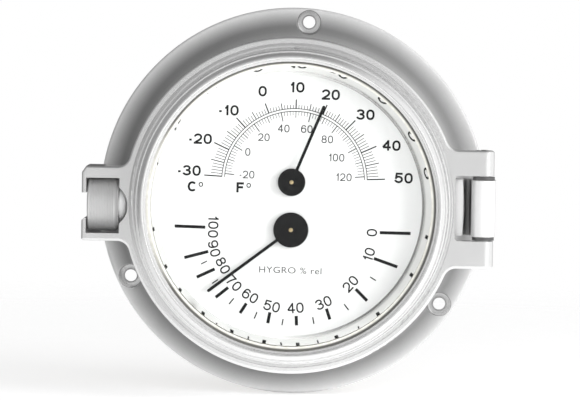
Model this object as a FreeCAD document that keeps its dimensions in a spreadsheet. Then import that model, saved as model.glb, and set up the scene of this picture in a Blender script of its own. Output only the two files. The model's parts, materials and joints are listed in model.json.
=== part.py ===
import FreeCAD, Part
import Sketcher
import math
import os

# Dial hygrometer and thermometer in an opening porthole case.
# Millimetres. +Z is up, the dial looks along -Y, and the flat back of the flange lies on y = 0.
# The origin is the centre of that mounting face. The hinge is at +X and the latch at -X.
# "Depth" is the distance forward of the mounting face, so y = -depth.

# Endings: _d is a depth, _t a thickness, _r a radius, _pcd a pitch circle diameter.
DIMS = [
    # case
    ("flange_od", 115.0), ("flange_edge_t", 2.4), ("drum_od", 92.0), ("drum_bore", 86.4),
    ("case_front_d", 25.0), ("ledge_front_d", 25.4), ("ledge_bore", 77.0),
    ("back_recess_dia", 88.8), ("back_recess_depth", 2.0),
    ("hole_pcd", 106.8), ("hole_dia", 3.6), ("spot_dia", 7.7), ("spot_d", 2.6), ("sink_dia", 7.1),
    ("boss_r", 40.4), ("boss_dia", 6.6), ("tapped_dia", 2.54), ("ledge_screw_r", 40.6),
    # bezel and glass
    ("bezel_od", 98.0), ("bezel_bore", 87.2), ("bezel_rear_d", 25.1), ("bezel_face_d", 30.0),
    ("opening_dia", 84.0), ("crest_d", 37.6), ("lip_rear_d", 34.6), ("edge_round", 0.8),
    ("glass_dia", 86.6), ("glass_t", 2.0), ("gasket_t", 0.5), ("gasket_bore", 81.4),
    # hinge: arm_in, arm_out and arm_low are distances from z = 0
    ("pin_x", 55.9), ("pin_d", 27.0), ("pin_dia", 3.0), ("knuckle_dia", 7.0),
    ("knuckle_len", 16.4), ("arm_dia", 6.0), ("arm_in", 9.5), ("arm_out", 16.9),
    ("arm_low", 17.5), ("washer_t", 0.9), ("shoulder_r", 50.4),
    ("bracket_screw_d", 16.5), ("bracket_screw_z", 4.6),
    # latch: left, right, end and tip are distances to the left of x = 0
    ("wheel_d", 21.8), ("wheel_dia", 15.6), ("wheel_left", 59.5), ("wheel_right", 50.5),
    ("latch_z", -0.8), ("lug_end", 61.0), ("lug_half", 10.6), ("lug_low", 11.1),
    ("lug_rear_d", 14.6), ("notch_top", 2.9), ("notch_low", 4.5), ("bolt_square", 2.6),
    ("bolt_thread", 4.6), ("bolt_tip", 46.5), ("keeper_end", 43.3), ("keeper_dia", 4.8),
    ("keeper_bore", 3.8),
    # dial, plates and movements
    ("plate_dia", 86.0), ("plate_t", 1.0), ("dial_dia", 83.0), ("dial_t", 0.6),
    ("visible_dia", 76.2), ("rim_top_d", 31.2), ("back_plate_t", 1.6),
    ("thermo_z", 6.8), ("hygro_z", -7.1), ("thermo_len", 24.2), ("hygro_len", 30.2),
    ("thermo_hub_dia", 8.0), ("hygro_hub_dia", 10.2), ("arbor_dia", 1.2), ("needle_t", 0.35),
    ("thermo_needle_d", 28.7), ("hygro_needle_d", 28.5),
    ("thermo_rest_deg", 67.7), ("hygro_rest_deg", -142.7),
]

Vector = FreeCAD.Vector


# ---------------------------------------------------------------- driven numbers
class Quantity:
    """A number together with the spreadsheet expression that gives it."""

    def __init__(self, value, text):
        self.value = float(value)
        self.text = text

    def __add__(self, other):
        other = quantity(other)
        return Quantity(self.value + other.value, f"({self.text} + {other.text})")

    def __radd__(self, other):
        return quantity(other) + self

    def __sub__(self, other):
        other = quantity(other)
        return Quantity(self.value - other.value, f"({self.text} - {other.text})")

    def __rsub__(self, other):
        return quantity(other) - self

    def __mul__(self, other):
        other = quantity(other)
        return Quantity(self.value * other.value, f"({self.text} * {other.text})")

    def __rmul__(self, other):
        return quantity(other) * self

    def __truediv__(self, other):
        other = quantity(other)
        return Quantity(self.value / other.value, f"({self.text} / {other.text})")

    def __neg__(self):
        return Quantity(-self.value, f"(0 - {self.text})")


def quantity(number):
    return number if isinstance(number, Quantity) else Quantity(number, "%.6f" % float(number))


def root(number):
    return Quantity(math.sqrt(number.value), f"sqrt({number.text})")


class DrivingDimensions:
    """Holds one Quantity per spreadsheet alias."""


doc = FreeCAD.newDocument("dial_hygrometer")
sheet = doc.addObject("Spreadsheet::Sheet", "Dims")
dim = DrivingDimensions()
for row, (alias, number) in enumerate(DIMS, start=1):
    sheet.set(f"A{row}", alias)
    sheet.set(f"B{row}", repr(number))
    sheet.setAlias(f"B{row}", alias)
    setattr(dim, alias, Quantity(number, "Dims." + alias))
doc.recompute()


# ---------------------------------------------------------------- sketches
# FRONT sketches are (x, z) and face forward, so their start is a depth. TOP sketches are (x, y)
# and face up. SIDE sketches are (y, z) and face +X. Pads follow the facing, pockets go against it.
FRONT = "XZ_Plane"
TOP = "XY_Plane"
SIDE = "YZ_Plane"

pieces = []


def new_body(label, place=None, rotation=None):
    """A new piece, moved to place (x, y, z) if one is given."""
    part = doc.addObject("PartDesign::Body", label)
    part.Label = label
    pieces.append(part)
    if place:
        place = [quantity(value) for value in place]
        base = Vector(*[value.value for value in place])
        part.Placement = FreeCAD.Placement(base, rotation or FreeCAD.Rotation())
        for axis, value in zip("xyz", place):
            part.setExpression("Placement.Base." + axis, value.text)
    doc.recompute()
    return part


def origin_feature(part, role):
    for feature in part.Origin.OriginFeatures:
        if feature.Role == role:
            return feature
    raise RuntimeError(role)


def fix_point(sketch, geometry, end, x, y):
    for kind, value, axis in (("DistanceX", x, -2), ("DistanceY", y, -1)):
        if abs(value.value) < 1e-9:
            sketch.addConstraint(Sketcher.Constraint("PointOnObject", geometry, end, axis))
        else:
            rule = Sketcher.Constraint(kind, -1, 1, geometry, end, value.value)
            index = sketch.addConstraint(rule)
            sketch.setExpression(f"Constraints[{index}]", value.text)


def fix_radius(sketch, geometry, radius):
    rule = Sketcher.Constraint("Radius", geometry, abs(radius.value))
    index = sketch.addConstraint(rule)
    text = radius.text if radius.value > 0 else f"(0 - {radius.text})"
    sketch.setExpression(f"Constraints[{index}]", text)


def draw_circle(sketch, x, y, radius):
    x, y, radius = quantity(x), quantity(y), quantity(radius)
    ring = Part.Circle(Vector(x.value, y.value, 0), Vector(0, 0, 1), radius.value)
    geometry = sketch.addGeometry(ring, False)
    fix_point(sketch, geometry, 3, x, y)
    fix_radius(sketch, geometry, radius)


def arc_between(x1, y1, x2, y2, radius):
    """The shorter arc between two points, anticlockwise for a positive radius."""
    reach_x, reach_y = x2 - x1, y2 - y1
    half_chord = math.hypot(reach_x, reach_y) / 2
    if half_chord > abs(radius) + 1e-6:
        raise RuntimeError("arc radius too small")
    rise = math.sqrt(max(0.0, radius * radius - half_chord * half_chord))
    side = 1 if radius > 0 else -1
    centre_x = (x1 + x2) / 2 - side * rise * reach_y / (2 * half_chord)
    centre_y = (y1 + y2) / 2 + side * rise * reach_x / (2 * half_chord)
    first = math.atan2(y1 - centre_y, x1 - centre_x)
    last = math.atan2(y2 - centre_y, x2 - centre_x)
    if side < 0:
        first, last = last, first
    if last <= first:
        last += 2 * math.pi
    ring = Part.Circle(Vector(centre_x, centre_y, 0), Vector(0, 0, 1), abs(radius))
    return Part.ArcOfCircle(ring, first, last)


def draw_outline(sketch, vertices):
    """Closed outline of (x, y) or (x, y, R) vertices; R starts an arc to the next vertex,
    anticlockwise when positive and clockwise when negative."""
    points = [(quantity(v[0]), quantity(v[1]), quantity(v[2]) if len(v) > 2 else None)
              for v in vertices]
    base = sketch.GeometryCount
    count = len(points)
    ends = []
    for i, (x, y, radius) in enumerate(points):
        next_x, next_y, _ = points[(i + 1) % count]
        corners = (x.value, y.value, next_x.value, next_y.value)
        if radius is None:
            start, finish = Vector(*corners[:2], 0), Vector(*corners[2:], 0)
            sketch.addGeometry(Part.LineSegment(start, finish), False)
        else:
            sketch.addGeometry(arc_between(*corners, radius.value), False)
        clockwise = radius is not None and radius.value < 0
        ends.append((2, 1) if clockwise else (1, 2))
    for i in range(count):
        j = (i + 1) % count
        sketch.addConstraint(
            Sketcher.Constraint("Coincident", base + i, ends[i][1], base + j, ends[j][0]))
    for i, (x, y, radius) in enumerate(points):
        fix_point(sketch, base + i, ends[i][0], x, y)
        if radius is not None:
            fix_radius(sketch, base + i, radius)


def new_sketch(part, plane, name, start):
    sketch = part.newObject("Sketcher::SketchObject", name)
    sketch.AttachmentSupport = [(origin_feature(part, plane), "")]
    sketch.MapMode = "FlatFace"
    start = quantity(start)
    if start.value:
        offset = Vector(0, 0, start.value)
        sketch.AttachmentOffset = FreeCAD.Placement(offset, FreeCAD.Rotation())
        sketch.setExpression("AttachmentOffset.Base.z", start.text)
    return sketch


def draw(part, plane, name, start, shapes):
    """A sketch of shapes: a tuple (x, y, radius) is a circle, a list of vertices an outline."""
    sketch = new_sketch(part, plane, name, start)
    for shape in shapes:
        if isinstance(shape, list):
            draw_outline(sketch, shape)
        else:
            draw_circle(sketch, *shape)
    return sketch


def at_depth(points):
    """(x, depth[, R]) points as TOP vertices; R is positive when anticlockwise in (x, depth)."""
    vertices = []
    for x, depth, *radius in points:
        vertices.append((x, -quantity(depth), *[-quantity(value) for value in radius]))
    return vertices


# ---------------------------------------------------------------- features
def volume(part):
    return part.Shape.Volume if part.Shape and not part.Shape.isNull() else 0.0


def finish(part, feature, before, grows):
    """Recomputes and stops if the feature failed or left the volume as it was."""
    doc.recompute()
    change = volume(part) - before
    if "Invalid" in feature.State or "Error" in feature.State or feature.Shape.isNull():
        raise RuntimeError(f"{feature.Name} in {part.Label} failed")
    if (change if grows else -change) <= 1e-6:
        raise RuntimeError(f"{feature.Name} in {part.Label} changed nothing")
    return feature


def extrude(kind, part, sketch, length, both, flipped):
    before = volume(part)
    feature = part.newObject("PartDesign::" + kind, f"{sketch.Name}_{kind.lower()}")
    feature.Profile = sketch
    length = quantity(length)
    feature.Length = length.value
    feature.setExpression("Length", length.text)
    feature.Reversed = flipped
    if both:
        # the symmetric switch has a different name in different FreeCAD versions
        if "SideType" in feature.PropertiesList:
            feature.SideType = "Symmetric"
        else:
            feature.Midplane = True
    sketch.Visibility = False
    return finish(part, feature, before, kind == "Pad")


def pad(part, plane, name, start, length, *shapes, both=False, flipped=False):
    sketch = draw(part, plane, name, start, shapes)
    return extrude("Pad", part, sketch, length, both, flipped)


def pocket(part, plane, name, start, length, *shapes, both=False, flipped=False):
    sketch = draw(part, plane, name, start, shapes)
    return extrude("Pocket", part, sketch, length, both, flipped)


def revolve(part, plane, name, *shapes, axis="V_Axis", kind="Revolution"):
    sketch = draw(part, plane, name, 0, shapes)
    before = volume(part)
    feature = part.newObject("PartDesign::" + kind, f"{name}_{kind.lower()}")
    feature.Profile = sketch
    feature.ReferenceAxis = (sketch, [axis])
    feature.Angle = 360
    sketch.Visibility = False
    return finish(part, feature, before, kind == "Revolution")


def polar(part, original, count, grows=False):
    """Repeats a feature evenly about the piece's Y axis."""
    before = volume(part)
    ring = part.newObject("PartDesign::PolarPattern", original.Name + "_ring")
    ring.Originals = [original]
    ring.Axis = (origin_feature(part, "Y_Axis"), [""])
    ring.Angle = 360
    ring.Occurrences = count
    part.Tip = ring
    return finish(part, ring, before, grows)


def turned(label, points, place=None, rotation=None):
    """A piece turned about its Y axis from (radius, depth[, R]) points."""
    part = new_body(label, place, rotation)
    revolve(part, TOP, label + "_profile", at_depth(points))
    return part


def slotted_screws(label, spots, head_d, head_r, head_t, shank_r, shank_len, forward):
    """Slotted screws in one piece. The head's outer face is at head_d, and the shank runs
    forward or back from it."""
    part = new_body(label)
    way = 1 if forward else -1
    for i, (x, z) in enumerate(spots):
        pad(part, FRONT, f"{label}_head{i}", head_d, head_t, (x, z, head_r), flipped=not forward)
        pad(part, FRONT, f"{label}_shank{i}", head_d + way * head_t * 0.9, shank_len,
            (x, z, shank_r), flipped=not forward)
        left, right = x - head_r - 0.2, x + head_r + 0.2
        pocket(part, FRONT, f"{label}_slot{i}", head_d + way * head_t * 0.45, head_t,
               [(left, z - 0.28), (right, z - 0.28), (right, z + 0.28), (left, z + 0.28)],
               flipped=not forward)


def three_spots(radius, angle=0.0):
    """Three even (x, z) spots round the dial axis, the first turned by angle from +Z to +X."""
    angles = [angle + i * 2 * math.pi / 3 for i in range(3)]
    return [(radius * math.sin(turn), radius * math.cos(turn)) for turn in angles]


# ---------------------------------------------------------------- shared places
drum_r = dim.drum_od / 2
pin_r = dim.pin_dia / 2
arbor_r = dim.arbor_dia / 2
bezel_r = dim.bezel_od / 2
bezel_bore_r = dim.bezel_bore / 2
wheel_r = dim.wheel_dia / 2
bolt_half = dim.bolt_square / 2
dial_rear_d = dim.ledge_front_d + dim.plate_t
dial_front_d = dial_rear_d + dim.dial_t
glass_front_d = dim.lip_rear_d - dim.gasket_t
glass_rear_d = glass_front_d - dim.glass_t
plate_seat_d = dim.ledge_front_d - 0.04  # just behind the movement plate
boss_spots = three_spots(dim.boss_r, math.radians(33.5))
ledge_spots = three_spots(dim.ledge_screw_r)


# ---------------------------------------------------------------- case
def make_case():
    flange_r = dim.flange_od / 2
    edge_d = dim.flange_edge_t
    cove_r = flange_r - 0.8 - drum_r
    front = dim.case_front_d
    ledge = dim.ledge_front_d
    recess_r = dim.back_recess_dia / 2
    bore_r = dim.drum_bore / 2
    case = turned("case_body", [
        (recess_r, 0), (flange_r - 0.4, 0), (flange_r, 0.4), (flange_r, edge_d - 0.8, 0.8),
        (flange_r - 0.8, edge_d, -cove_r), (drum_r, edge_d + cove_r),
        (drum_r, front - 0.3), (drum_r - 0.3, front),
        # groove for the rubber ring
        (drum_r - 0.9, front), (drum_r - 0.9, front - 0.7),
        (drum_r - 1.7, front - 0.7), (drum_r - 1.7, front),
        # ledge that carries the movement plate
        (drum_r - 2.6, front), (drum_r - 2.6, ledge),
        (dim.ledge_bore / 2, ledge), (dim.ledge_bore / 2, ledge - 1.8),
        (bore_r, ledge - 4.2), (bore_r, dim.back_recess_depth),
        (recess_r, dim.back_recess_depth),
    ])
    cut_fixing_holes(case)

    # bosses inside the drum for the back plate screws
    boss_x, boss_z = boss_spots[0]
    boss = pad(case, FRONT, "rear_boss", dim.back_recess_depth, 7,
               (boss_x, boss_z, dim.boss_dia / 2))
    polar(case, boss, 3, grows=True)
    bore = pocket(case, FRONT, "rear_boss_bore", 8, 8, (boss_x, boss_z, dim.tapped_dia / 2))
    polar(case, bore, 3)
    # ledge holes for the movement plate screws
    hole = pocket(case, FRONT, "ledge_bore_hole", ledge + 1, 4.2, (0, dim.ledge_screw_r, 1.02))
    polar(case, hole, 3)
    # hole for the latch keeper, then two for the hinge bracket screws
    pocket(case, SIDE, "keeper_hole", -40, 8,
           (-dim.wheel_d, dim.latch_z, dim.keeper_dia / 2 + 0.02))
    pocket(case, SIDE, "bracket_holes", 48, 8,
           (-dim.bracket_screw_d, dim.bracket_screw_z, 1.55),
           (-dim.bracket_screw_d, -dim.bracket_screw_z, 1.55))


def cut_fixing_holes(case):
    """Three countersunk holes in spot faces, the first a little to +X of the top."""
    x, z = three_spots(dim.hole_pcd / 2, math.radians(4.3))[0]
    spot = pocket(case, FRONT, "spot_face", dim.spot_d + 8, 8, (x, z, dim.spot_dia / 2))
    polar(case, spot, 3)
    sketch = draw(case, FRONT, "fixing_hole", dim.spot_d, [(x, z, dim.hole_dia / 2)])
    doc.recompute()
    before = volume(case)
    hole = case.newObject("PartDesign::Hole", "fixing_holes")
    hole.Profile = sketch
    doc.recompute()
    hole.Threaded = False
    hole.DepthType = "ThroughAll"
    hole.ThreadType = "None"
    hole.HoleCutType = "Countersink"
    hole.HoleCutCustomValues = True
    hole.Diameter = dim.hole_dia.value
    hole.setExpression("Diameter", dim.hole_dia.text)
    hole.HoleCutDiameter = dim.sink_dia.value
    hole.setExpression("HoleCutDiameter", dim.sink_dia.text)
    hole.HoleCutCountersinkAngle = 90
    sketch.Visibility = False
    finish(case, hole, before, False)
    polar(case, hole, 3)


def make_latch_keeper():
    """Bush in the case wall that takes the latch bolt, its axis along X."""
    bore_r = dim.keeper_bore / 2
    outer_r = dim.keeper_dia / 2
    turned("latch_keeper",
           [(bore_r, 0), (outer_r, 0), (outer_r, 2.5), (bore_r + 0.3, 2.5), (bore_r, 2.2)],
           (-dim.keeper_end, -dim.wheel_d, dim.latch_z), FreeCAD.Rotation(Vector(0, 0, 1), -90))


def make_case_seal():
    """Rubber ring between the case and the bezel."""
    cord_r = 0.34
    revolve(new_body("case_seal"), TOP, "seal_section",
            (drum_r - 1.3, -(dim.case_front_d - cord_r), cord_r))


# ---------------------------------------------------------------- hinge
def make_hinge_bracket():
    pin_x, pin_d = dim.pin_x, dim.pin_d
    knuckle_r = dim.knuckle_dia / 2
    shoulder_r = dim.shoulder_r
    bracket = new_body("hinge_bracket")
    pad(bracket, TOP, "bracket_section", 0, dim.knuckle_len, at_depth([
        (44.0, 13.2), (44.0, 24.6), (shoulder_r - 0.4, 24.6), (shoulder_r, 24.2),
        (shoulder_r, 20.8, 0.9), (shoulder_r + 0.9, 19.9),
        (pin_x - knuckle_r - 0.6, 19.9, 0.6), (pin_x - knuckle_r, 20.5),
        (pin_x - knuckle_r, pin_d, -knuckle_r), (pin_x, pin_d + knuckle_r, -knuckle_r),
        (pin_x + knuckle_r, pin_d), (pin_x + knuckle_r, 20.0, -5.0),
        (pin_x + knuckle_r - 5.0, 16.2, 9.0), (48.6, 13.2),
    ]), both=True)
    pocket(bracket, FRONT, "drum_seat", 30, 24, (0, 0, drum_r + 0.02))
    # the shoulder follows the round of the case
    half = dim.knuckle_len / 2 + 0.3
    edge_x = root(shoulder_r * shoulder_r - half * half)
    pocket(bracket, FRONT, "shoulder_round", 32, 11.2, [
        (edge_x, -half, shoulder_r), (edge_x, half),
        (shoulder_r + 0.6, half), (shoulder_r + 0.6, -half),
    ])
    pocket(bracket, TOP, "pin_bore", 0, dim.knuckle_len + 2, (pin_x, -pin_d, pin_r + 0.02),
           both=True)
    pocket(bracket, SIDE, "tapped", 51, 7,
           (-dim.bracket_screw_d, dim.bracket_screw_z, dim.tapped_dia / 2),
           (-dim.bracket_screw_d, -dim.bracket_screw_z, dim.tapped_dia / 2))


def make_hinge_pin():
    pin = new_body("hinge_pin", (dim.pin_x, -dim.pin_d, 0))
    top = dim.arm_out + 0.15
    bottom = -(dim.arm_low + 0.15)
    revolve(pin, FRONT, "pin_profile", [
        (0, bottom), (pin_r - 0.5, bottom), (pin_r, bottom + 0.5),
        (pin_r, top - 0.5), (pin_r - 0.5, top), (0, top),
    ])


def make_hinge_washers():
    """A washer above and another below the knuckle."""
    bore_r = pin_r + 0.05
    outer_r = 3.2
    near = dim.knuckle_len / 2 + 0.15
    far = near + dim.washer_t
    revolve(new_body("hinge_washers", (dim.pin_x, -dim.pin_d, 0)), FRONT, "washer_sections", *[
        [(bore_r, side * near), (outer_r, side * near), (outer_r, side * far),
         (bore_r, side * far)]
        for side in (1, -1)
    ])


def make_bracket_screws():
    """Two screws along X, with their heads inside the drum."""
    screws = new_body("bracket_screws")
    y = -dim.bracket_screw_d
    for side, name in ((1, "upper"), (-1, "lower")):
        z = dim.bracket_screw_z * side
        pad(screws, SIDE, name + "_shank", 49.6, 7.4, (y, z, 1.25), flipped=True)
        pad(screws, SIDE, name + "_head", 42.3, 1.7, (y, z, 2.4), flipped=True)
        pocket(screws, SIDE, name + "_slot", 41.3, 2,
               [(y - 3, z - 0.3), (y + 3, z - 0.3), (y + 3, z + 0.3), (y - 3, z + 0.3)])


# ---------------------------------------------------------------- plates and dial
def make_back_plate():
    plate = new_body("back_plate")
    x, z = boss_spots[0]
    pad(plate, FRONT, "back_disc", 0.2, dim.back_plate_t,
        (0, 0, dim.back_recess_dia / 2 - 0.1))
    polar(plate, pocket(plate, FRONT, "back_screw_hole", 5, 6, (x, z, 1.35)), 3)
    polar(plate, pocket(plate, FRONT, "back_head_seat", 1.25, 3, (x, z, 2.4)), 3)
    slot = pocket(plate, FRONT, "vent_slot", 5, 6,
                  [(-1.1, 20), (1.1, 20), (1.1, 32, 1.1), (0, 33.1, 1.1), (-1.1, 32)])
    polar(plate, slot, 12)
    pocket(plate, FRONT, "adjuster_holes", 5, 6, (0, dim.thermo_z, 3), (0, dim.hygro_z, 3))
    slotted_screws("back_plate_screws", boss_spots, head_d=0.15, head_r=2.2, head_t=1.05,
                   shank_r=1.22, shank_len=6.0, forward=True)


def make_movement_plate():
    plate = new_body("movement_plate")
    pad(plate, FRONT, "plate_disc", dim.ledge_front_d, dim.plate_t, (0, 0, dim.plate_dia / 2),
        *[(0, movement.z, 2.02) for movement in MOVEMENTS])
    screw_r = dim.ledge_screw_r
    polar(plate, pocket(plate, FRONT, "plate_screw_hole", 30, 6, (0, screw_r, 1.05)), 3)
    polar(plate, pocket(plate, FRONT, "plate_screw_seat", 30, 4.2, (0, screw_r, 1.75)), 3)
    pocket(plate, FRONT, "bridge_holes", 30, 6,
           *[(x, z, 0.82) for x, z in bridge_screw_spots],
           *[(movement.anchor_x, movement.z, 0.72) for movement in MOVEMENTS])
    slotted_screws("movement_plate_screws", ledge_spots, head_d=26.35, head_r=1.7, head_t=0.5,
                   shank_r=0.98, shank_len=2.4, forward=False)


def make_dial():
    pad(new_body("dial_plate"), FRONT, "dial_disc", dial_rear_d, dim.dial_t,
        (0, 0, dim.dial_dia / 2), *[(0, movement.z, 2.3) for movement in MOVEMENTS])
    visible_r = dim.visible_dia / 2
    dial_r = dim.dial_dia / 2
    rim = dim.rim_top_d
    turned("dial_surround", [
        (visible_r + 0.69, dial_front_d + 0.5, -0.8), (visible_r, dial_front_d + 0.07),
        (visible_r, dial_front_d + 0.02), (dial_r + 0.05, dial_front_d + 0.02),
        (dial_r + 0.05, dial_rear_d + 0.02), (dial_r + 0.85, dial_rear_d + 0.02),
        (dial_r + 0.85, rim - 2.6), (dial_r + 0.3, rim - 1.9), (dial_r + 0.3, rim - 0.3),
        (dial_r, rim), (visible_r + 2.65, rim),
    ])


# ---------------------------------------------------------------- movements
COIL_START_R = 1.62


class Movement:
    """Sizes of one pointer movement, and the places that follow from them."""

    def __init__(self, name, **sizes):
        self.name = name
        self.__dict__.update(sizes)
        self.foot_x = self.bridge_half + 4.5
        self.screw_x = self.foot_x - 1.8
        # an odd number of half-turns ends the coil on the -X side
        self.coil_end_r = COIL_START_R + (self.half_turns - 1) * self.coil_pitch / 2
        self.anchor_x = -(self.coil_end_r + self.coil_t + self.anchor_r + 0.02)


MOVEMENTS = [
    Movement("thermo", z=dim.thermo_z, bridge_half=11.0, bridge_d=16.0,
             coil_label="thermo_bimetal_coil", coil_pitch=1.3, coil_t=0.35, half_turns=11,
             coil_d=19.0, coil_width=3.0, anchor_r=0.88, needle_d=dim.thermo_needle_d,
             hub_r=dim.thermo_hub_dia / 2, needle_len=dim.thermo_len, rest=dim.thermo_rest_deg),
    Movement("hygro", z=dim.hygro_z, bridge_half=17.0, bridge_d=5.0,
             coil_label="hygro_coil", coil_pitch=1.9, coil_t=0.5, half_turns=13,
             coil_d=8.0, coil_width=5.0, anchor_r=1.05, needle_d=dim.hygro_needle_d,
             hub_r=dim.hygro_hub_dia / 2, needle_len=dim.hygro_len, rest=dim.hygro_rest_deg),
]
bridge_screw_spots = [(side * movement.screw_x, movement.z)
                      for movement in MOVEMENTS for side in (1, -1)]


def make_bush(movement):
    turned(movement.name + "_bush", [
        (0.66, 24.7), (2.9, 24.7), (2.9, plate_seat_d), (2.0, plate_seat_d),
        (2.0, 27.5), (1.7, 27.7), (0.66, 27.7),
    ], (0, 0, movement.z))


def make_bridge(movement):
    """Bent strap behind the movement plate, with a foot at each side."""
    label = movement.name + "_bridge"
    part = new_body(label, (0, 0, movement.z))
    inner, foot, rear = movement.bridge_half, movement.foot_x, movement.bridge_d
    outer = inner + 1.0
    top = dim.ledge_front_d - 0.02
    pad(part, TOP, label + "_strap", 0, 5, at_depth([
        (-foot, top), (-foot, top - 1), (-outer, top - 1), (-outer, rear), (outer, rear),
        (outer, top - 1), (foot, top - 1), (foot, top), (inner, top), (inner, rear + 1),
        (-inner, rear + 1), (-inner, top),
    ]), both=True)
    pocket(part, FRONT, label + "_holes", 30, 29, (0, 0, 0.65),
           (movement.screw_x, 0, 0.82), (-movement.screw_x, 0, 0.82))


def make_coil(movement):
    """Flat spiral spring made of half-turns with alternating centres."""
    label, pitch, thickness = movement.coil_label, movement.coil_pitch, movement.coil_t
    part = new_body(label, (0, 0, movement.z))
    sketch = new_sketch(part, FRONT, label + "_spiral", movement.coil_d)
    inner, outer = [], []
    for i in range(movement.half_turns):
        centre = Vector(pitch / 2 if i % 2 else 0, 0, 0)
        start = math.pi if i % 2 else 0.0
        for chain, extra in ((inner, 0), (outer, thickness)):
            ring = Part.Circle(centre, Vector(0, 0, 1), COIL_START_R + i * pitch / 2 + extra)
            arc = Part.ArcOfCircle(ring, start, start + math.pi)
            chain.append(sketch.addGeometry(arc, False))
    caps = []
    for x, way in ((COIL_START_R, 1), (-movement.coil_end_r, -1)):
        cap = Part.LineSegment(Vector(x, 0, 0), Vector(x + way * thickness, 0, 0))
        caps.append(sketch.addGeometry(cap, False))
    for chain, end in ((inner, 1), (outer, 2)):
        sketch.addConstraint(Sketcher.Constraint("Coincident", caps[0], end, chain[0], 1))
        for arc, following in zip(chain, chain[1:]):
            sketch.addConstraint(Sketcher.Constraint("Coincident", arc, 2, following, 1))
        sketch.addConstraint(Sketcher.Constraint("Coincident", chain[-1], 2, caps[1], end))
    extrude("Pad", part, sketch, movement.coil_width, both=False, flipped=False)


def make_coil_anchor(movement):
    """Post beside the coil's outer end, with a spigot in the movement plate."""
    rear, radius = movement.coil_d - 0.6, movement.anchor_r
    tip = dim.ledge_front_d + 0.9
    turned(movement.name + "_coil_anchor", [
        (0, rear), (radius, rear), (radius, plate_seat_d), (0.7, plate_seat_d), (0.7, tip), (0, tip),
    ], (movement.anchor_x, 0, movement.z))


def make_arbor(movement):
    """Arbor with a drum inside the coil, and the collet behind the pointer."""
    rear = movement.bridge_d - 0.3
    drum_rear = movement.coil_d - 0.3
    drum_front = movement.coil_d + movement.coil_width + 0.3
    needle_d = movement.needle_d
    place = (0, 0, movement.z)
    turned(movement.name + "_arbor", [
        (0, rear), (arbor_r, rear), (arbor_r, drum_rear), (1.5, drum_rear), (1.5, drum_front),
        (arbor_r, drum_front), (arbor_r, needle_d + 0.55, 0.75),
        (0.12, needle_d + 0.84), (0, needle_d + 0.84),
    ], place)
    turned(movement.name + "_collet", [
        (arbor_r + 0.01, 27.85), (1.5, 27.85), (1.5, needle_d - 0.01),
        (arbor_r + 0.01, needle_d - 0.01),
    ], place)


def make_pointer(movement):
    """Needle and hub disc, turned by the rest angle from +X towards +Z."""
    name, start, tip = movement.name, movement.needle_d, movement.needle_len
    half = 0.44
    part = new_body(name + "_pointer", (0, 0, movement.z),
                    FreeCAD.Rotation(Vector(0, -1, 0), movement.rest.value))
    pad(part, FRONT, name + "_needle", start, dim.needle_t, [
        (1, -half), (tip - 0.3, -half), (tip, -0.2), (tip, 0.2), (tip - 0.3, half), (1, half),
    ])
    pad(part, FRONT, name + "_disc", start, dim.needle_t + 0.1, (0, 0, movement.hub_r))
    pocket(part, FRONT, name + "_eye", start + 2, 4, (0, 0, arbor_r + 0.01))


# ---------------------------------------------------------------- bezel
BLEND_R = 3.6  # fillet where the lug and arms meet the bezel's round
ROOT_SCALE = 47.8 / 49.0  # how far out the lug and arm roots start, as a share of bezel_r


def blend(level, radius):
    """Tangent points of a fillet between a level and the bezel's round: x on the level,
    then x and z on the round."""
    centre_z = level + radius
    reach = bezel_r + radius
    centre_x = root(reach * reach - centre_z * centre_z)
    return centre_x, centre_x * bezel_r / reach, centre_z * bezel_r / reach


def make_bezel():
    """Bezel ring with the hinge arms on its +X side and the latch lug on its -X side."""
    rear, face, crest, lip = dim.bezel_rear_d, dim.bezel_face_d, dim.crest_d, dim.lip_rear_d
    opening_r = dim.opening_dia / 2
    bezel = turned("bezel_ring", [
        (bezel_bore_r, rear), (bezel_r, rear), (bezel_r, face), (bezel_r - 1.7, face, -1.0),
        (bezel_r - 2.65, face - 0.69, -0.7), (bezel_r - 3.35, face + 0.01),
        (bezel_r - 3.7, crest - 1.9, 0.5), (bezel_r - 4.05, crest - 1.4),
        (bezel_r - 4.35, crest - 1.4), (bezel_r - 4.4, crest - 1.35, 2.2),
        (bezel_r - 5.6, crest), (bezel_r - 5.8, crest, 0.5), (bezel_r - 6.3, crest - 0.5),
        (bezel_r - 6.45, crest - 0.85), (opening_r + 0.2, crest - 0.95, 0.2),
        (opening_r, crest - 1.15), (opening_r, lip), (bezel_bore_r, lip),
    ])
    add_lug_and_arms(bezel)
    cut_hinge_side(bezel)
    cut_latch_side(bezel)
    pocket(bezel, TOP, "arm_bore", 0, dim.arm_low * 2 + 2,
           (dim.pin_x, -dim.pin_d, pin_r + 0.06), both=True)
    round_front_edges(bezel)


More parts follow.
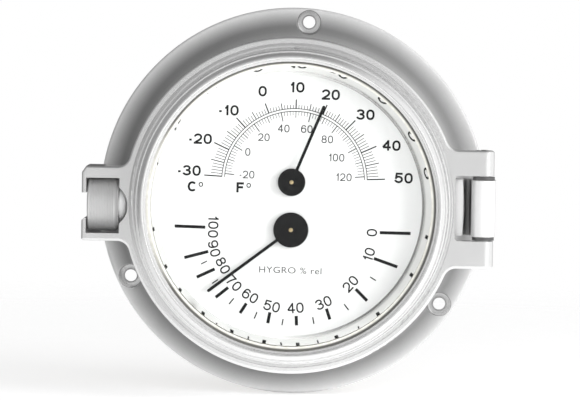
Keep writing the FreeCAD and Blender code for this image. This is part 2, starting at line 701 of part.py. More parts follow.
def add_lug_and_arms(bezel):
    rear, face = dim.bezel_rear_d, dim.bezel_face_d
    end, top, low = dim.lug_end, dim.lug_half, dim.lug_low
    lug_corners = [(-end + 1.2, top), (-end, top - 1.8), (-end, -low + 0.5), (-end + 0.5, -low)]
    root_r = -bezel_r * ROOT_SCALE
    top_x, top_round_x, top_round_z = blend(top, BLEND_R)
    low_x, low_round_x, low_round_z = blend(low, BLEND_R)
    pad(bezel, FRONT, "lug_outline", rear, face - rear, lug_corners + [
        (-low_x, -low, -BLEND_R), (-low_round_x, -low_round_z),
        (-low_round_x * ROOT_SCALE, -low_round_z * ROOT_SCALE, root_r),
        (-top_round_x * ROOT_SCALE, top_round_z * ROOT_SCALE),
        (-top_round_x, top_round_z, -BLEND_R), (-top_x, top),
    ])
    arm_top, arm_low = dim.arm_out, dim.arm_low
    top_x, top_round_x, top_round_z = blend(arm_top, BLEND_R)
    low_x, low_round_x, low_round_z = blend(arm_low, BLEND_R)
    pad(bezel, FRONT, "arm_roots", rear, face - rear, [
        (low_x, -arm_low), (top_x, arm_top, -BLEND_R), (top_round_x, top_round_z),
        (top_round_x * ROOT_SCALE, top_round_z * ROOT_SCALE, root_r),
        (low_round_x * ROOT_SCALE, -low_round_z * ROOT_SCALE),
        (low_round_x, -low_round_z, -BLEND_R),
    ])
    arm_r = dim.arm_dia / 2
    pin_x, pin_d = dim.pin_x, dim.pin_d
    pad(bezel, TOP, "arm_section", -arm_low, arm_top + arm_low, at_depth([
        (47.7, pin_d - arm_r), (pin_x, pin_d - arm_r, arm_r), (pin_x + arm_r, pin_d, arm_r),
        (pin_x, pin_d + arm_r), (47.7, pin_d + arm_r),
    ]))
    pad(bezel, FRONT, "lug_block", dim.lug_rear_d, rear + 0.5 - dim.lug_rear_d,
        [(-45.5, top)] + lug_corners + [(-45.5, -low)])


def cut_hinge_side(bezel):
    """Clears the drum, then opens the gap between the hinge arms."""
    gap = dim.arm_in
    pocket(bezel, FRONT, "drum_clearance", dim.bezel_rear_d, 12, (0, 0, drum_r + 0.7))
    pocket(bezel, FRONT, "shoulder_relief", dim.bezel_rear_d, 3,
           [(44, -gap), (48.6, -gap), (48.6, gap), (44, gap)])
    pocket(bezel, FRONT, "hinge_window", dim.bezel_face_d + 1, 8, [
        (62, -gap), (62, gap), (48.6, gap, 1.0), (47.6, gap - 1.0),
        (47.6, -gap + 1.0, 1.0), (48.6, -gap),
    ])


def cut_latch_side(bezel):
    """Room in the lug for the thumb wheel, and a square guide for its bolt."""
    left, right, end = -dim.wheel_left, -dim.wheel_right, -dim.lug_end
    z = dim.latch_z
    low, high = z - wheel_r - 0.25, z + wheel_r + 0.25
    notch_low, notch_top = -dim.notch_low, dim.notch_top
    pocket(bezel, FRONT, "wheel_pocket", 40, 30,
           [(left - 0.2, low), (right + 0.5, low), (right + 0.5, high), (left - 0.2, high)])
    pocket(bezel, FRONT, "wheel_notch", 40, 30, [
        (end - 2, notch_low - 0.7), (end - 0.1, notch_low - 0.7), (end + 0.9, notch_low),
        (left + 0.5, notch_low), (left + 0.5, notch_top), (end - 2, notch_top),
    ])
    pocket(bezel, FRONT, "dome_recess", 40, 30,
           [(right, z - 5.3), (right + 0.4, z - 5.3, 6.8), (right + 0.4, z + 5.3), (right, z + 5.3)])
    half = bolt_half + 0.05
    y = -dim.wheel_d
    pocket(bezel, SIDE, "bolt_guide", -45, 6,
           [(y - half, z - half), (y + half, z - half), (y + half, z + half), (y - half, z + half)])


def is_soft_edge(edge):
    """True for outer edges of the front face, away from the hinge gap and the wheel notch."""
    box = edge.BoundBox
    face_y = -dim.bezel_face_d.value
    if abs(box.YMin - face_y) > 1e-4 or abs(box.YMax - face_y) > 1e-4:
        return False
    middle = edge.valueAt((edge.FirstParameter + edge.LastParameter) / 2)
    x, height = middle.x, abs(middle.z)
    if math.hypot(x, middle.z) < 48.0:
        return False
    if x > 50 and height < dim.arm_out.value - 0.05:
        return False
    if x > 0 and height < dim.arm_in.value + 0.1:
        return False
    inside_lug = height < dim.lug_half.value - 1.0 and x > -dim.lug_end.value + 0.05
    return not (x < 0 and inside_lug)


def round_front_edges(bezel):
    doc.recompute()
    edges = [f"Edge{i}" for i, edge in enumerate(bezel.Shape.Edges, start=1)
             if is_soft_edge(edge)]
    last = bezel.Tip
    before = volume(bezel)
    fillet = bezel.newObject("PartDesign::Fillet", "front_edges")
    fillet.Base = (last, edges)
    fillet.Radius = dim.edge_round.value
    fillet.setExpression("Radius", dim.edge_round.text)
    bezel.Tip = fillet
    finish(bezel, fillet, before, False)


def make_glass():
    """Glass, the gasket in front of it and the slotted retaining ring behind it."""
    gasket_r = dim.gasket_bore / 2
    lip = dim.lip_rear_d
    turned("glass_gasket", [(gasket_r, glass_front_d), (bezel_bore_r - 0.1, glass_front_d),
                            (bezel_bore_r - 0.1, lip), (gasket_r, lip)])
    pad(new_body("glass"), FRONT, "glass_disc", glass_rear_d, dim.glass_t,
        (0, 0, dim.glass_dia / 2))
    inner, outer = bezel_bore_r - 1.0, bezel_bore_r - 0.05
    rear = glass_rear_d - 1.8
    retainer = turned("glass_retainer", [
        (inner, rear), (outer, rear), (outer, glass_rear_d), (inner, glass_rear_d)])
    slot = pocket(retainer, FRONT, "key_slot", glass_rear_d - 0.9, 2,
                  [(41, -1), (45, -1), (45, 1), (41, 1)])
    polar(retainer, slot, 4)


# ---------------------------------------------------------------- latch
def make_thumb_wheel():
    wheel = new_body("thumb_wheel", (0, -dim.wheel_d, dim.latch_z))
    left, right = -dim.wheel_left, -dim.wheel_right
    bore_r = dim.bolt_thread / 2 + 0.05
    # (x, radius[, R]) about the wheel's X axis
    revolve(wheel, TOP, "wheel_profile", [
        (left, bore_r + 0.4), (left, wheel_r - 0.4), (left + 0.4, wheel_r),
        (right - 1.1, wheel_r, -1.5), (right, wheel_r - 0.9), (right, 4.0), (right + 0.35, 4.0),
        (right + 0.35, 4.9, -4.5), (right + 2.3, bore_r), (left + 0.4, bore_r),
    ], axis="H_Axis")
    line = revolve(wheel, TOP, "grip_line", [
        (left + 0.85, wheel_r + 0.1), (left + 1.0, wheel_r - 0.12), (left + 1.15, wheel_r + 0.1),
    ], axis="H_Axis", kind="Groove")
    before = volume(wheel)
    grip = wheel.newObject("PartDesign::LinearPattern", "grip_lines")
    grip.Originals = [line]
    grip.Direction = (origin_feature(wheel, "X_Axis"), [""])
    grip.Length = 6.5
    grip.Occurrences = 15
    wheel.Tip = grip
    finish(wheel, grip, before, False)


def make_lock_bolt():
    """Round shank in the wheel, then a square tongue towards the case."""
    bolt = new_body("lock_bolt", (0, -dim.wheel_d, dim.latch_z))
    pad(bolt, SIDE, "bolt_round", -58.6, 6.6, (0, 0, dim.bolt_thread / 2))
    half = bolt_half
    pad(bolt, SIDE, "bolt_tongue", -52.2, 52.2 - dim.bolt_tip,
        [(-half, -half), (half, -half), (half, half), (-half, half)])


# ---------------------------------------------------------------- build and export
make_case()
make_latch_keeper()
make_case_seal()
make_hinge_bracket()
make_hinge_pin()
make_hinge_washers()
make_bracket_screws()
make_back_plate()
make_movement_plate()
make_dial()
for movement in MOVEMENTS:
    make_bush(movement)
    make_bridge(movement)
    make_coil(movement)
    make_coil_anchor(movement)
    make_arbor(movement)
    make_pointer(movement)
slotted_screws("bridge_screws", bridge_screw_spots, head_d=23.5, head_r=1.4, head_t=0.87,
               shank_r=0.78, shank_len=1.9, forward=True)
make_bezel()
make_glass()
make_thumb_wheel()
make_lock_bolt()

doc.recompute()
bad = [f"{item.Name} {item.State}" for item in doc.Objects
       if "Invalid" in item.State or "Error" in item.State]
for part in pieces:
    if part.Shape.isNull() or not part.Shape.isValid() or part.Shape.Volume <= 0:
        bad.append("shape of " + part.Label)
if bad:
    raise RuntimeError("; ".join(bad))
os.makedirs("parts", exist_ok=True)
for part in pieces:
    part.Shape.exportStep(f"parts/{part.Label}.step")
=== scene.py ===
# A round thermometer and hygrometer in a drum case with a hinged, glazed bezel.
# It stands upright: the dial faces -Y, X runs to the viewer's right and Z is up, and the
# drum's axis is the Y axis. The latch is on the left (-X) and the hinge on the right (+X).
# The CAD pieces get procedural materials, and the dial gets its printing as thin raised ink.
import json
import math

import bmesh
import bpy
from mathutils import Matrix, Vector


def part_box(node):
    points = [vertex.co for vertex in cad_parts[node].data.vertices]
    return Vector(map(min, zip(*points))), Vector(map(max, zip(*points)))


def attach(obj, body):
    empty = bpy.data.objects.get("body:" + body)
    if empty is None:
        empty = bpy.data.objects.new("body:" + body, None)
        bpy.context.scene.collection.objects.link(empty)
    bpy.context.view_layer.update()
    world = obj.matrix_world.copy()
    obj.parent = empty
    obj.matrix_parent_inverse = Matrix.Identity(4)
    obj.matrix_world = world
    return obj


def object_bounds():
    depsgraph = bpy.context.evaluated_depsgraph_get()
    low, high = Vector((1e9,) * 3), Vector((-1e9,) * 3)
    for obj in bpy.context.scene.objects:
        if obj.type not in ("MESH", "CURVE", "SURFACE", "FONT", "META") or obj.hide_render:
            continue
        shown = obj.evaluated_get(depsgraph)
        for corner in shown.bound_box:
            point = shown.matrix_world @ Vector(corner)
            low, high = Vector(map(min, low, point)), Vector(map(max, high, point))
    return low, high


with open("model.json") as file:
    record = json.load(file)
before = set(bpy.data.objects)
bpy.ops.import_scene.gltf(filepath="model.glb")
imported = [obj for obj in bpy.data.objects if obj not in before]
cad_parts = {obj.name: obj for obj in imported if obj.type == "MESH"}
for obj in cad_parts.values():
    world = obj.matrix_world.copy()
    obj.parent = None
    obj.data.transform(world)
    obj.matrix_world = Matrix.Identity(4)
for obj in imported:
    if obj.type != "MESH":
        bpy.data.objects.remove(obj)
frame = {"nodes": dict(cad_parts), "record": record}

CAD_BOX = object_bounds()
MM = 0.001
scene = bpy.context.scene

# ------------------------------------------------------------------ shader helpers
WIDE = (0.3, 0.7)       # the parts of a noise's range that get stretched over a result
TIGHT = (0.35, 0.65)
FADE = (1.0, 0.0)       # a remap that falls instead of rising


class Shader:
    """The node tree of a material or world. Most methods add one node and return its output."""

    def __init__(self, owner, output="ShaderNodeOutputMaterial"):
        self.owner = owner
        owner.use_nodes = True
        self.tree = owner.node_tree
        self.tree.nodes.clear()
        self.output = self.node(output)

    def node(self, kind, inputs=None, **settings):
        """Adds a node. Inputs maps a socket's name or index to a value or to another socket."""
        node = self.tree.nodes.new(kind)
        for key, value in settings.items():
            setattr(node, key, value)
        for key, value in (inputs or {}).items():
            if isinstance(value, bpy.types.NodeSocket):
                self.tree.links.new(value, node.inputs[key])
            elif value is not None:
                node.inputs[key].default_value = value
        return node

    def surface(self, node):
        self.tree.links.new(node.outputs[0], self.output.inputs["Surface"])

    def math(self, operation, a, b=None, clamp=False):
        inputs = {0: a, 1: b}
        return self.node("ShaderNodeMath", inputs, operation=operation, use_clamp=clamp).outputs[0]

    def add(self, a, b, clamp=False):
        return self.math("ADD", a, b, clamp)

    def sub(self, a, b, clamp=False):
        return self.math("SUBTRACT", a, b, clamp)

    def mul(self, a, b):
        return self.math("MULTIPLY", a, b)

    def coords(self, space="Object"):
        return self.node("ShaderNodeTexCoord").outputs[space]

    def split(self, vector):
        return self.node("ShaderNodeSeparateXYZ", {0: vector}).outputs

    def join(self, x, y, z):
        return self.node("ShaderNodeCombineXYZ", {0: x, 1: y, 2: z}).outputs[0]

    def radius(self, vector, centre_x=0.0, centre_z=0.0):
        """Distance from a line parallel to Y."""
        x, y, z = self.split(vector)
        dx = self.sub(x, centre_x)
        dz = self.sub(z, centre_z)
        return self.math("SQRT", self.add(self.mul(dx, dx), self.mul(dz, dz)))

    def noise(self, vector, scale, detail=3.0, rough=0.55):
        inputs = {"Vector": vector, "Scale": scale, "Detail": detail, "Roughness": rough}
        return self.node("ShaderNodeTexNoise", inputs).outputs[0]

    def remap(self, value, span, to=(0.0, 1.0), **settings):
        inputs = {0: value, 1: span[0], 2: span[1], 3: to[0], 4: to[1]}
        return self.node("ShaderNodeMapRange", inputs, **settings).outputs[0]

    def mix(self, factor, a, b):
        return self.node("ShaderNodeMix", {0: factor, 6: a, 7: b}, data_type="RGBA").outputs[2]

    def mottle(self, value, low, high, span=TIGHT):
        """Blends two RGB colours by a noise value."""
        return self.mix(self.remap(value, span), (*low, 1.0), (*high, 1.0))

    def scale(self, colour, factor):
        inputs = {0: colour, "Scale": factor}
        return self.node("ShaderNodeVectorMath", inputs, operation="SCALE").outputs[0]

    def bump(self, height, strength, distance, normal=None):
        inputs = {"Strength": strength, "Distance": distance, "Height": height, "Normal": normal}
        return self.node("ShaderNodeBump", inputs).outputs[0]

    def principled(self, colour, rough, metal, normal, specular=None):
        self.surface(self.node("ShaderNodeBsdfPrincipled", {
            "Base Color": colour, "Roughness": rough, "Metallic": metal, "Normal": normal,
            "Specular IOR Level": specular}))


def new_material(name):
    return Shader(bpy.data.materials.new(name))


def tinted(value, tint=(1.0, 1.0, 1.0)):
    return tuple(value * part for part in tint)


# ------------------------------------------------------------------ materials
def satin_metal(name, base, rough, metal, grain, crevice_shade, reach, open_at, cloudy=1.0,
                wear_by=0.03, rings=0.0, shading=None, finish=None):
    """Satin chrome plate: fine grain, faint clouds and painted shade in the crevices.

    The crevice shade sets how much painted shade darkens the crevices, reach how far they
    look for neighbours and open_at the openness that counts as clear.
    returns an extra brightness factor; finish changes the colour, roughness and metal.
    """
    m = new_material(name)
    v = m.coords()
    fine = m.noise(v, scale=2600.0, detail=2.0)
    cloud = m.noise(v, scale=60.0, detail=4.0)
    wear = m.noise(v, scale=420.0, detail=5.0, rough=0.7)
    low, high = base * (1 - 0.05 * cloudy), base * (1 + 0.04 * cloudy)
    colour = m.mottle(cloud, tinted(low), tinted(high), WIDE)
    bright = m.remap(fine, TIGHT, to=(1.0 - 0.05 * grain, 1.0))
    # painted shade: the colour darkens in crevices, where ambient occlusion finds neighbours within
    # reach
    openness = m.node("ShaderNodeAmbientOcclusion", {"Distance": reach}, samples=6).outputs["AO"]
    bright = m.mul(bright, m.remap(openness, (0.15, open_at), to=(1.0 - crevice_shade, 1.0)))
    if shading:
        bright = m.mul(bright, shading(m, v))
    colour = m.scale(colour, bright)
    rough = m.add(m.remap(wear, WIDE, to=(rough - wear_by, rough + wear_by)),
                  m.remap(fine, WIDE, to=(-0.02, 0.02)))
    if finish:
        colour, rough, metal = finish(m, v, colour, rough, metal)
    normal = m.bump(fine, strength=0.03 * grain, distance=0.00002)
    if rings:
        lathe = m.noise(m.join(m.mul(m.radius(v), 6500.0), 0.0, 0.0), scale=1.0, detail=2.0)
        normal = m.bump(lathe, strength=rings, distance=0.00002, normal=normal)
    m.principled(colour, rough, metal, normal)
    return m.owner


def flange_shading(m, v):
    """The flange's front darkens towards the drum, where the bezel shades it."""
    full_light_radius = 0.0575
    falloff = 205.0     # per metre inwards
    normal_y = m.split(m.node("ShaderNodeNewGeometry").outputs["Normal"])[1]
    front = m.mul(m.remap(normal_y, (-0.9, -0.5), FADE),
                  m.remap(m.split(v)[1], (-0.0010, -0.0004), FADE))
    # the exponent ignores its second input
    light = m.math("EXPONENT", m.mul(m.sub(m.radius(v), full_light_radius), falloff), 0.0)
    return m.sub(1.0, m.mul(front, m.sub(1.0, light)))


def hinge_slot_shading(m, v):
    """Painted shade: the deep slot beside the hinge barrel is darkened in its colour."""
    left, right, blur = 0.0503, 0.0527, 0.0003
    dark_from, dark_by = -0.0240, -0.0215      # depths along Y
    darkness = 0.72
    x, y, z = m.split(v)
    across = m.mul(m.remap(x, (left - blur, left)), m.remap(x, (right, right + blur), FADE))
    deep = m.remap(y, (dark_from, dark_by))
    return m.sub(1.0, m.mul(darkness, m.mul(across, deep)))


# fixing holes: three on the bolt circle, the first 4.3 degrees clockwise of upright
BOLT_RADIUS = next(mount["dims"]["pcd_mm"] for mount in frame["record"]["mounts"]
                   if mount["kind"] == "bolt_pattern") / 2000.0
HOLE_ANGLES = [math.radians(85.7 + 120.0 * i) for i in range(3)]
HOLES = [(BOLT_RADIUS * math.cos(a), BOLT_RADIUS * math.sin(a)) for a in HOLE_ANGLES]


def bright_countersinks(m, v, colour, rough, metal):
    """The countersinks are cut bright on the front, with painted shade on their rim and in their
    bore.
    """
    sink_rough = 0.16
    sink_metal = 0.45       # added to the plate's
    sink_grey, rim_shade, bore_shade = 0.92, 0.66, 0.55
    for hole_x, hole_z in HOLES:
        near = m.remap(m.radius(v, hole_x, hole_z), (0.00350, 0.00375), FADE)
        near = m.mul(near, m.remap(m.split(v)[1], (-0.0012, -0.0006), FADE))
        rough = m.add(m.mul(rough, m.sub(1.0, near)), m.mul(near, sink_rough))
        away = m.radius(v, hole_x, hole_z)
        # painted shade: the countersink's rim and its bore are darkened in the colour
        rim = m.mul(m.remap(away, (0.00330, 0.00350)), m.remap(away, (0.00352, 0.00372), FADE))
        bore = m.remap(away, (0.00185, 0.00225), FADE)
        shade = m.sub(sink_grey, m.add(m.mul(rim, rim_shade), m.mul(bore, bore_shade)), clamp=True)
        sink = m.node("ShaderNodeCombineColor", {0: shade, 1: shade, 2: shade}).outputs[0]
        colour = m.mix(near, colour, sink)
        metal = m.add(metal, m.mul(near, sink_metal), clamp=True)
    return colour, rough, metal


def mirror_plate():
    """Mirror plate for the ring round the dial; its foot has painted light on the left and painted
    shade on the right.
    """
    tint = (1.0, 1.0, 0.985)
    base = 0.90
    m = new_material("mirror_plate")
    v = m.coords()
    haze = m.noise(v, scale=180.0, detail=5.0, rough=0.65)
    x, y, z = m.split(v)
    stretched = m.join(m.mul(x, 900.0), m.mul(y, 900.0), m.mul(z, 60.0))
    scratch = m.noise(stretched, scale=3.0, detail=2.0)
    colour = m.mottle(haze, tinted(base * 0.96, tint), tinted(base, tint))
    rough = m.remap(haze, WIDE, to=(0.03, 0.08))
    # painted light and shade on the foot: non-metal and white on the left, darkened on the right
    foot = m.remap(m.radius(v), (0.0388, 0.0393), FADE)
    right = m.remap(x, (-0.004, 0.024))
    metal = m.sub(1.0, m.mul(0.9, m.mul(foot, m.sub(1.0, right))))
    colour = m.scale(colour, m.sub(1.0, m.mul(0.45, m.mul(foot, right))))
    m.principled(colour, rough, metal, m.bump(scratch, strength=0.03, distance=0.00001))
    return m.owner


def turned_metal(name, base, rough, axis, tint=(1, 1, 1), lines=9000.0, strength=0.35,
                 metal=1.0, highlight_from=None):
    """Lathe-turned metal: fine lines round the axis, lines being their frequency per metre.

    What lies to the right of the given x gets a painted highlight: brighter, smoother and less metal.
    """
    m = new_material(name)
    v = m.coords()
    x, y, z = m.split(v)
    along = {"X": x, "Y": y, "Z": z}[axis]
    if axis == "Y":     # flat faces look down Y, so their lines follow the radius too
        along = m.add(m.mul(m.radius(v), 1.0), m.mul(y, 0.7))
    line = m.noise(m.join(m.mul(along, lines), 0.0, 0.0), scale=1.0, detail=3.0, rough=0.7)
    cloud = m.noise(v, scale=240.0, detail=3.0)
    blend = m.add(m.mul(line, 0.7), m.mul(cloud, 0.3))
    colour = m.mottle(blend, tinted(base * 0.9, tint), tinted(base * 1.05, tint))
    rough = m.remap(blend, WIDE, to=(rough - 0.05, rough + 0.07))
    if highlight_from is not None:
        # painted highlight: the end past the given x is lightened, smoothed and made less metal
        end = m.remap(x, (highlight_from - 0.0003, highlight_from + 0.0001))
        colour = m.mix(end, colour, (0.97, 0.97, 0.97, 1))
        rough = m.sub(rough, m.mul(end, 0.06))
        metal = m.sub(metal, m.mul(end, 0.30), clamp=True)
    m.principled(colour, rough, metal, m.bump(line, strength=strength, distance=0.00003))
    return m.owner


def dial_enamel():
    """Matt white enamel with a very faint mottling and a touch of orange peel."""
    m = new_material("dial_enamel")
    v = m.coords()
    cloud = m.noise(v, scale=90.0, detail=4.0)
    peel = m.noise(v, scale=1400.0, detail=2.0)
    colour = m.mottle(cloud, (0.715, 0.718, 0.715), (0.745, 0.748, 0.745))
    rough = m.remap(cloud, WIDE, to=(0.42, 0.5))
    normal = m.bump(peel, strength=0.05, distance=0.00001)
    m.principled(colour, rough, 0.0, normal, specular=0.2)
    return m.owner


def ink(name, base):
    """Matt black ink; base is its darkest grey."""
    m = new_material(name)
    grain = m.noise(m.coords(), scale=1800.0, detail=3.0)
    colour = m.mottle(grain, tinted(base, (1, 1, 1.05)), tinted(base * 2.2))
    rough = m.remap(grain, WIDE, to=(0.5, 0.65))
    normal = m.bump(grain, strength=0.05, distance=0.00001)
    m.principled(colour, rough, 0.0, normal, specular=0.06)
    return m.owner


def soft(name, dark, light, rough, scale=700.0, shading=None):
    """A mottled non-metal. shading returns an extra brightness factor."""
    m = new_material(name)
    v = m.coords()
    grain = m.noise(v, scale=scale, detail=4.0)
    colour = m.mottle(grain, dark, light)
    if shading:
        colour = m.scale(colour, shading(m, v, grain))
    rough = m.remap(grain, WIDE, to=(rough - 0.06, rough + 0.06))
    m.principled(colour, rough, 0.0, m.bump(grain, strength=0.12, distance=0.00003))
    return m.owner


def gasket_painted_shadow(m, v, grain):
    """Painted shadow: a dark line in the corner under the bezel's lip, faintest on the latch side."""
    x, y, z = m.split(v)
    ragged_radius = m.add(m.radius(v), m.mul(grain, 0.00012))
    line = m.remap(ragged_radius, (0.04115, 0.04160))
    side = m.remap(x, (-0.0410, -0.0340), to=(0.25, 1.0))
    return m.sub(1.0, m.mul(m.mul(line, side), 0.86))


def dial_glass():
    """Flat coated crystal: lets light straight through, mirrors at a slant, faintly smeared."""
    coating = 0.0262        # taken off the reflection
    m = new_material("dial_glass")
    smear = m.noise(m.coords(), scale=35.0, detail=5.0, rough=0.6)
    clear = m.node("ShaderNodeBsdfTransparent", {0: (0.992, 0.994, 0.993, 1)})
    shine = m.node("ShaderNodeBsdfGlossy", {
        "Roughness": m.remap(smear, WIDE, to=(0.01, 0.05)), "Color": (1, 1, 1, 1)})
    fresnel = m.node("ShaderNodeFresnel", {"IOR": 1.45}).outputs[0]
    factor = m.sub(fresnel, coating, clamp=True)
    # only the near side of the crystal mirrors anything
    backfacing = m.node("ShaderNodeNewGeometry").outputs["Backfacing"]
    factor = m.mul(factor, m.sub(1.0, backfacing))
    m.surface(m.node("ShaderNodeMixShader", {
        0: factor, 1: clear.outputs[0], 2: shine.outputs[0]}))
    return m.owner


MATERIALS = {
    "case_body": satin_metal(
        "satin_plate_case", base=0.71, rough=0.50, metal=0.55, grain=0.8, crevice_shade=0.45,
        reach=0.003, open_at=0.75, shading=flange_shading, finish=bright_countersinks),
    "bezel_ring": satin_metal(
        "satin_plate_bezel", base=0.80, rough=0.24, metal=0.85, grain=0.25, crevice_shade=0.32,
        reach=0.0012, open_at=0.75, cloudy=0.5, wear_by=0.012, rings=0.015),
    "hinge_bracket": satin_metal(
        "satin_plate_bracket", base=0.84, rough=0.34, metal=0.60, grain=0.3, crevice_shade=0.97,
        reach=0.003, open_at=0.60, shading=hinge_slot_shading),
    "dial_surround": mirror_plate(),
    "thumb_wheel": turned_metal(
        "turned_wheel", base=0.55, rough=0.44, axis="X", metal=0.45, highlight_from=-0.0505),
    "lock_bolt": turned_metal("turned_bolt", base=0.62, rough=0.30, axis="X"),
    "hinge_pin": turned_metal("turned_pin", base=0.62, rough=0.28, axis="Z"),
    "hinge_washers": turned_metal("dark_washer", base=0.20, rough=0.42, axis="Z"),
    "dial_plate": dial_enamel(),
    "glass": dial_glass(),
    "glass_gasket": soft("cream_gasket", dark=(0.66, 0.65, 0.59), light=(0.80, 0.79, 0.74),
                         rough=0.50, shading=gasket_painted_shadow),
    "case_seal": soft("black_rubber", dark=(0.012, 0.012, 0.012), light=(0.03, 0.03, 0.03),
                      rough=0.6),
    "thermo_pointer": ink("pointer_black", base=0.008),
    "hygro_pointer": ink("pointer_black_2", base=0.008),
}
brass = turned_metal("turned_brass", base=0.80, rough=0.28, axis="Y", tint=(1.0, 0.80, 0.46))
steel = turned_metal("screw_steel", base=0.58, rough=0.32, axis="Y")
BRASS_PIECES = (
    "latch_keeper", "back_plate_screws", "movement_plate_screws", "thermo_bush", "hygro_bush",
    "thermo_bridge", "hygro_bridge", "thermo_coil_anchor", "hygro_coil_anchor", "thermo_arbor",
    "hygro_arbor", "thermo_collet", "hygro_collet", "glass_retainer")
MATERIALS.update(dict.fromkeys(BRASS_PIECES, brass))
MATERIALS.update(dict.fromkeys(("bracket_screws", "bridge_screws"), steel))
MATERIALS["movement_plate"] = turned_metal(
    "movement_aluminium", base=0.74, rough=0.38, axis="X", lines=2500.0, strength=0.2)
MATERIALS["back_plate"] = turned_metal(
    "lacquered_back", base=0.72, rough=0.34, axis="Y", tint=(1.0, 0.86, 0.58),
    lines=2600.0, strength=0.18)
MATERIALS["thermo_bimetal_coil"] = turned_metal(
    "bimetal", base=0.70, rough=0.30, axis="Y", tint=(1.0, 0.84, 0.62),
    lines=3000.0, strength=0.1)
MATERIALS["hygro_coil"] = soft(
    "humidity_strip", dark=(0.62, 0.55, 0.38), light=(0.74, 0.68, 0.52), rough=0.38, scale=300.0)

for name, ob in frame["nodes"].items():
    ob.data.materials.clear()
    ob.data.materials.append(MATERIALS[name])
    for polygon in ob.data.polygons:
        polygon.material_index = 0


# ------------------------------------------------------------------ ink on the dial
# Points on the dial are 2D vectors (x, z) in metres.
DIAL_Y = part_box("dial_plate")[0].y      # front face of the dial
INK = 0.00003                           # how far the ink stands out
INK_BACK = DIAL_Y + 0.000005            # the ink starts just inside the dial
OVERLAP_STEP = 0.0000008                # extra height of each further stroke in a sign
black = ink("dial_ink", base=0.010)
fine_grey = ink("dial_ink_fine", base=0.045)


def dial_point(x, z):
    """A place on the dial, in millimetres right of and above its centre."""
    return Vector((x, z)) * MM


def unit(degrees):
    angle = math.radians(degrees)
    return Vector((math.cos(angle), math.sin(angle)))


def bar(bm, start, end, width):
    """A straight tick with square ends."""
    along = (end - start).normalized()
    side = Vector((-along.y, along.x)) * width / 2
    outline = [start - side, end - side, end + side, start + side]
    back = [bm.verts.new((p.x, INK_BACK, p.y)) for p in outline]
    front = [bm.verts.new((p.x, DIAL_Y - INK, p.y)) for p in outline]
    bm.faces.new(front)
    bm.faces.new(back[::-1])
    for i in range(4):
        j = (i + 1) % 4
        bm.faces.new((front[j], front[i], back[i], back[j]))


def ribbon(bm, edges, closed=False, level=0.0):
    """A band of ink between pairs of edge points, standing level above the usual ink height."""
    depths = (INK_BACK, DIAL_Y - INK - level)
    rows = [[bm.verts.new((p.x, y, p.y)) for p in pair for y in depths] for pair in edges]
    for i in range(len(rows) if closed else len(rows) - 1):
        a, b = rows[i], rows[(i + 1) % len(rows)]
        bm.faces.new((a[1], a[3], b[3], b[1]))
        bm.faces.new((a[0], b[0], b[2], a[2]))
        bm.faces.new((a[0], a[1], b[1], b[0]))
        bm.faces.new((a[2], b[2], b[3], a[3]))
    if not closed:
        a, b = rows[0], rows[-1]
        bm.faces.new((a[0], a[2], a[3], a[1]))
        bm.faces.new((b[0], b[1], b[3], b[2]))


def arc_band(bm, centre, radius, width, start, end, steps=180):
    edges = []
    for k in range(steps + 1):
        out = unit(start + (end - start) * k / steps)
        edges.append((centre + out * (radius - width / 2), centre + out * (radius + width / 2)))
    ribbon(bm, edges)


def stroke(bm, points, width, closed, level):
    """A pen stroke with mitred corners."""
    points = [Vector(p) for p in points]
    if closed:
        points.pop()
    count = len(points)
    edges = []
    for i, point in enumerate(points):
        before = points[i - 1] if (i or closed) else None
        after = points[(i + 1) % count] if (i < count - 1 or closed) else None
        arriving = (point - before if before is not None else after - point).normalized()
        leaving = (after - point).normalized() if after is not None else arriving
        along = (arriving + leaving).normalized()
        side = Vector((-along.y, along.x))
        reach = width / 2 / max(0.5, side.dot(Vector((-leaving.y, leaving.x))))
        edges.append((point + side * reach, point - side * reach))
    ribbon(bm, edges, closed, level)


def finish_print(name, bm, material):
    """Turns the mesh into a piece of printing that rides on the case."""
    bmesh.ops.recalc_face_normals(bm, faces=bm.faces)
    mesh = bpy.data.meshes.new(name)
    bm.to_mesh(mesh)
    bm.free()
    ob = bpy.data.objects.new(name, mesh)
    scene.collection.objects.link(ob)
    mesh.materials.append(material)
    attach(ob, "case")


# ------------------------------------------------------------------ thermometer scales
ARC_CENTRE = Vector((0.0008, 0.0070))
CELSIUS_RADIUS, FAHRENHEIT_RADIUS = 21.18 * MM, 20.39 * MM
ARC_WIDTH = 0.00022
ARC_OVERRUN = 0.4       # degrees of arc past the end marks

# every so many degrees: tick's end radius at the top, what it gains at the sides, width (mm)
CELSIUS_TICKS = ((10, 23.89, 2.48, 0.36), (5, 22.95, 2.33, 0.26), (1, 22.31, 2.21, 0.18))
FAHRENHEIT_TICKS = ((20, 17.77, -0.15, 0.30), (10, 18.50, -0.15, 0.24), (2, 19.23, -0.73, 0.16))


def celsius_angle(celsius):
    """The scale is even: 10 degrees C stands at 89.6, and each degree is 2.183 of arc."""
    return 89.6 - 2.183 * (celsius - 10.0)


def fahrenheit_angle(fahrenheit):
    return celsius_angle((fahrenheit - 32.0) / 1.8)


def temperature_ticks(bm, marks, angle_of, foot_radius, ticks, power):
    """Radial ticks whose length changes with a power of how far sideways they point."""
    for mark in marks:
        angle = angle_of(mark)
        sideways = abs(math.cos(math.radians(angle)))
        end, gain, width = next(row[1:] for row in ticks if mark % row[0] == 0)
        end_radius = (end + gain * sideways ** power) * MM
        bar(bm, ARC_CENTRE + unit(angle) * foot_radius, ARC_CENTRE + unit(angle) * end_radius,
            width * MM)


